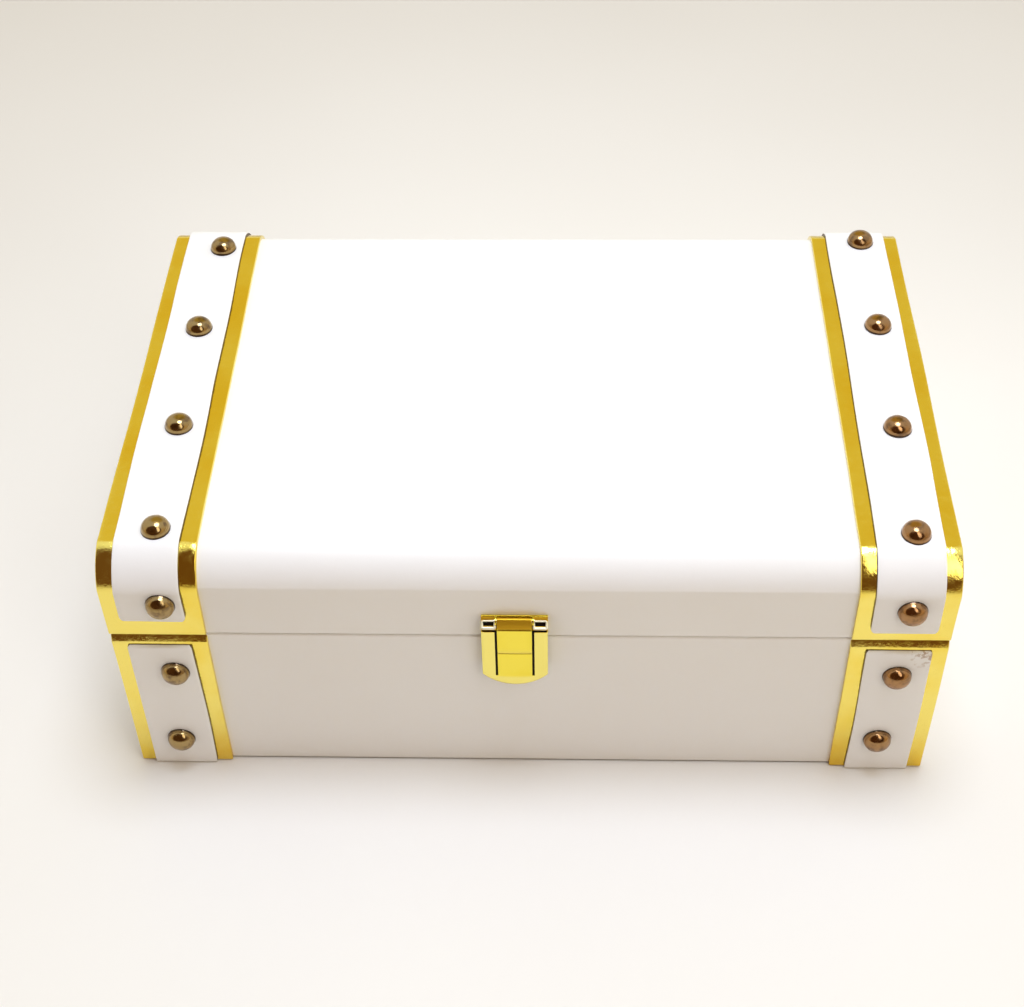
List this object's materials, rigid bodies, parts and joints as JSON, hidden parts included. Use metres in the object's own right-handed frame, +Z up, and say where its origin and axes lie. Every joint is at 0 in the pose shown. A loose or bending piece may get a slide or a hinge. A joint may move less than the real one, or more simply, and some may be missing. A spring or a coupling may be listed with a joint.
{
  "type": "jewellery box",
  "caption": "Low rectangular jewellery box: wrapped board case, hinged round-edged lid, banded and studded ends, swinging front latch and lift-out tray inside.",
  "frame": {"origin": "middle of the footprint, on the surface that the box stands on", "axes": "+X to the right seen from the latch side, along the box's length; +Y to the hinge side; +Z up"},
  "size_m": [0.305, 0.2156, 0.1178],
  "materials": {
    "white_leatherette": "smooth satin, very fine grain",
    "white_strap_leatherette": "smooth satin, very fine grain",
    "gold_foil": "mirror-bright metallised foil with faint wrinkles",
    "antique_bronze": "polished dark antique bronze",
    "gold_plate": "bright gold plate",
    "steel_pin": "satin",
    "hinge_brass": "satin",
    "base_felt": "matt felt",
    "ring_roll_velvet": "short-pile velvet over foam",
    "padded_velvet": "short-pile velvet over foam",
    "velvet_lining": "short-pile velvet",
    "tray_velvet_board": "board wrapped in short-pile velvet",
    "fibreboard": "raw fibreboard, hidden under the cover"
  },
  "bodies": {
    "base": {"base_front_board": "fibreboard", "base_back_board": "fibreboard", "base_left_board": "fibreboard", "base_right_board": "fibreboard", "base_bottom_board": "fibreboard", "base_cover": "white_leatherette", "bottom_felt": "base_felt", "base_gold_band_front_left": "gold_foil", "base_gold_band_front_right": "gold_foil", "base_gold_band_back_left": "gold_foil", "base_gold_band_back_right": "gold_foil", "base_white_strap_front_left": "white_strap_leatherette", "base_white_strap_front_right": "white_strap_leatherette", "base_white_strap_back_left": "white_strap_leatherette", "base_white_strap_back_right": "white_strap_leatherette", "base_studs": "antique_bronze", "ledge_left": "velvet_lining", "ledge_right": "velvet_lining", "ledge_front": "velvet_lining", "ledge_back": "velvet_lining", "base_wall_lining": "velvet_lining", "base_floor_pad": "padded_velvet", "hinge_base_leaf_left": "hinge_brass", "hinge_base_leaf_right": "hinge_brass", "hinge_pin_left": "steel_pin", "hinge_pin_right": "steel_pin", "hinge_base_screws": "hinge_brass", "latch_keeper": "gold_plate"},
    "lid": {"lid_front_rail": "fibreboard", "lid_back_rail": "fibreboard", "lid_left_end": "fibreboard", "lid_right_end": "fibreboard", "lid_top_board": "fibreboard", "lid_cover": "white_leatherette", "lid_gold_band_left": "gold_foil", "lid_gold_band_right": "gold_foil", "lid_white_strap_left": "white_strap_leatherette", "lid_white_strap_right": "white_strap_leatherette", "lid_studs": "antique_bronze", "lid_wall_lining": "velvet_lining", "lid_pad": "padded_velvet", "hinge_lid_leaf_left": "hinge_brass", "hinge_lid_leaf_right": "hinge_brass", "hinge_lid_screws": "hinge_brass", "latch_plate": "gold_plate", "latch_pin": "steel_pin"},
    "latch_flap": {"latch_flap": "gold_plate"},
    "tray": {"tray_floor": "tray_velvet_board", "tray_front_wall": "tray_velvet_board", "tray_back_wall": "tray_velvet_board", "tray_left_wall": "tray_velvet_board", "tray_right_wall": "tray_velvet_board", "tray_ring_divider": "tray_velvet_board", "tray_long_divider": "tray_velvet_board", "tray_back_divider_left": "tray_velvet_board", "tray_back_divider_right": "tray_velvet_board", "tray_front_divider": "tray_velvet_board", "tray_floor_lining": "velvet_lining", "ring_rolls": "ring_roll_velvet"}
  },
  "joints": [
    {"name": "lid_hinge", "type": "hinge", "parent": "base", "child": "lid", "pos_m": [0, 0.103, 0.0745], "axis": [-1, 0, 0], "range_deg": [0, 97]},
    {"name": "latch_swing", "type": "hinge", "parent": "lid", "child": "latch_flap", "pos_m": [-0.0045, -0.1023, 0.0854], "axis": [-1, 0, 0], "range_deg": [0, 150]},
    {"name": "tray_lift", "type": "slide", "parent": "base", "child": "tray", "axis": [0, 0, 1], "range_m": [0, 0.025]}
  ]
}
